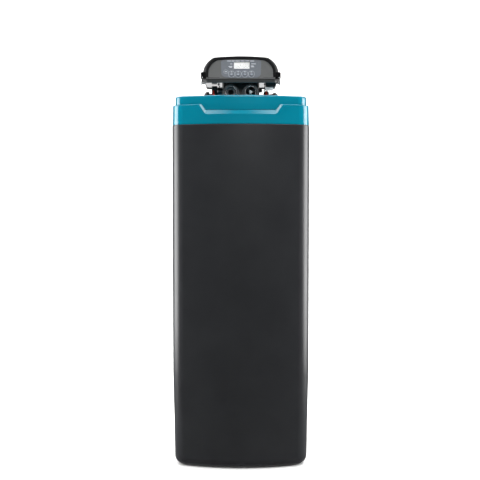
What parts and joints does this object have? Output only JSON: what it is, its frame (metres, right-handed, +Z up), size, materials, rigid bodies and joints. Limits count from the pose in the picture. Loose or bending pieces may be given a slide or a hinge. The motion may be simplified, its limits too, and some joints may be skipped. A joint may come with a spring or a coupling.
{
  "type": "water softener",
  "caption": "Cabinet water softener: tall dark salt cabinet, teal cover with a hinged salt lid, and a timer valve with display hood and front ports on top.",
  "frame": {"origin": "centre of the cabinet's footprint (back wall to the middle of the bowed front), on the floor", "axes": "+Z up, +X to the viewer's right when facing the front, front of the cabinet towards -Y"},
  "size_m": [0.3754, 0.5335, 1.1609],
  "materials": {
    "cabinet_polyethylene": "fine moulded grain",
    "cover_abs": "gloss",
    "hood_abs": "gloss",
    "panel_abs": "satin",
    "overlay_film": "satin printed film",
    "window_clear": "clear",
    "button_rubber": "satin",
    "valve_nylon": "glass-filled moulding",
    "socket_abs": "matt",
    "boot_clear": "milky clear",
    "insert_grey": "satin",
    "turbine_white": "gloss",
    "clip_red": "gloss",
    "lead_black": "matt",
    "latch_steel": "drawn wire",
    "pin_steel": "bright",
    "gear_acetal": "moulded",
    "disc_ceramic": "ground",
    "motor_steel": "zinc plated",
    "board_laminate": "solder resist",
    "tank_fibreglass": "wound glass fibre",
    "boot_black": "matt",
    "resin_amber": "beads",
    "pipe_pvc": "extruded",
    "cap_white": "moulded",
    "seal_rubber": "matt",
    "line_polyethylene": "extruded",
    "overflow_polypropylene": "moulded"
  },
  "bodies": {
    "softener": {"bottom_basket": "pipe_pvc", "brine_clip": "clip_red", "brine_elbow": "valve_nylon", "brine_line": "line_polyethylene", "brine_nut": "valve_nylon", "brine_well": "pipe_pvc", "cabinet_body": "cabinet_polyethylene", "cap_screws": "pin_steel", "chamber_cap": "valve_nylon", "drain_clip": "clip_red", "drain_elbow": "valve_nylon", "fixed_disc": "disc_ceramic", "hinge_pins": "pin_steel", "hood_base": "hood_abs", "injector_cap": "valve_nylon", "inlet_insert": "insert_grey", "inlet_nut": "valve_nylon", "inlet_probe": "valve_nylon", "inlet_tail": "valve_nylon", "latch_strikes": "latch_steel", "meter_lead": "lead_black", "meter_sensor": "valve_nylon", "motor": "motor_steel", "motor_bracket": "motor_steel", "neck_seal": "seal_rubber", "outlet_nut": "valve_nylon", "outlet_tail": "valve_nylon", "overflow_elbow": "overflow_polypropylene", "overflow_nut": "overflow_polypropylene", "pickup_tube": "pipe_pvc", "power_socket": "socket_abs", "probe_lead": "lead_black", "resin_bed": "resin_amber", "resin_tank": "tank_fibreglass", "riser_tube": "pipe_pvc", "safety_valve": "cap_white", "socket_boot": "boot_clear", "tank_boot": "boot_black", "top_basket": "pipe_pvc", "top_cover": "cover_abs", "valve_body": "valve_nylon"},
    "lid": {"salt_lid": "cover_abs"},
    "hood": {"hood_shell": "hood_abs", "front_panel": "panel_abs", "keypad_overlay": "overlay_film", "display_window": "window_clear", "circuit_board": "board_laminate"},
    "left_bail": {"latch_left": "latch_steel"},
    "right_bail": {"latch_right": "latch_steel"},
    "key_1": {"button_1": "button_rubber"},
    "key_2": {"button_2": "button_rubber"},
    "key_3": {"button_3": "button_rubber"},
    "key_4": {"button_4": "button_rubber"},
    "disc_drive": {"drive_gear": "gear_acetal", "moving_disc": "gear_acetal"},
    "pinion": {"motor_pinion": "gear_acetal"},
    "turbine": {"meter_turbine": "turbine_white"},
    "brine_float": {"float_rod": "cap_white"},
    "ball": {"check_ball": "seal_rubber"},
    "cap": {"well_cap": "cap_white"}
  },
  "joints": [
    {"name": "lid_hinge", "type": "hinge", "parent": "softener", "child": "lid", "pos_m": [0, -0.018, 1.009], "axis": [-1, 0, 0], "range_deg": [0, 95]},
    {"name": "hood_lift", "type": "slide", "parent": "softener", "child": "hood", "axis": [0, 0, 1], "range_m": [0, 0.12]},
    {"name": "left_latch_swing", "type": "hinge", "parent": "hood", "child": "left_bail", "pos_m": [-0.1135, 0.032, 1.0913], "axis": [0, 1, 0], "range_deg": [-18, 110]},
    {"name": "right_latch_swing", "type": "hinge", "parent": "hood", "child": "right_bail", "pos_m": [0.1135, 0.032, 1.0913], "axis": [0, -1, 0], "range_deg": [-18, 110]},
    {"name": "key_1_press", "type": "slide", "parent": "hood", "child": "key_1", "axis": [0, 0.8743, -0.4854], "range_m": [0, 0.001], "stiffness_N_per_m": 400},
    {"name": "key_2_press", "type": "slide", "parent": "hood", "child": "key_2", "axis": [0, 0.8743, -0.4854], "range_m": [0, 0.001], "stiffness_N_per_m": 400},
    {"name": "key_3_press", "type": "slide", "parent": "hood", "child": "key_3", "axis": [0, 0.8743, -0.4854], "range_m": [0, 0.001], "stiffness_N_per_m": 400},
    {"name": "key_4_press", "type": "slide", "parent": "hood", "child": "key_4", "axis": [0, 0.8743, -0.4854], "range_m": [0, 0.001], "stiffness_N_per_m": 400},
    {"name": "disc_drive_spin", "type": "hinge", "parent": "softener", "child": "disc_drive", "pos_m": [0, 0.1045, 1.0923], "axis": [0, 0, 1], "continuous": true},
    {"name": "pinion_spin", "type": "hinge", "parent": "softener", "child": "pinion", "pos_m": [-0.05625, 0.1045, 1.0923], "axis": [0, 0, 1], "continuous": true},
    {"name": "turbine_spin", "type": "hinge", "parent": "softener", "child": "turbine", "pos_m": [0.0293, 0.0295, 1.05], "axis": [0, 1, 0], "continuous": true},
    {"name": "float_slide", "type": "slide", "parent": "softener", "child": "brine_float", "axis": [0, 0, 1], "range_m": [0, 0.012]},
    {"name": "ball_lift", "type": "slide", "parent": "softener", "child": "ball", "axis": [0, 0, 1], "range_m": [0, 0.02]},
    {"name": "well_cap_lift", "type": "slide", "parent": "softener", "child": "cap", "axis": [0, 0, 1], "range_m": [0, 0.04]}
  ],
  "couplings": [
    {"joint": "pinion_spin", "follows": "disc_drive_spin", "ratio": -4}
  ]
}
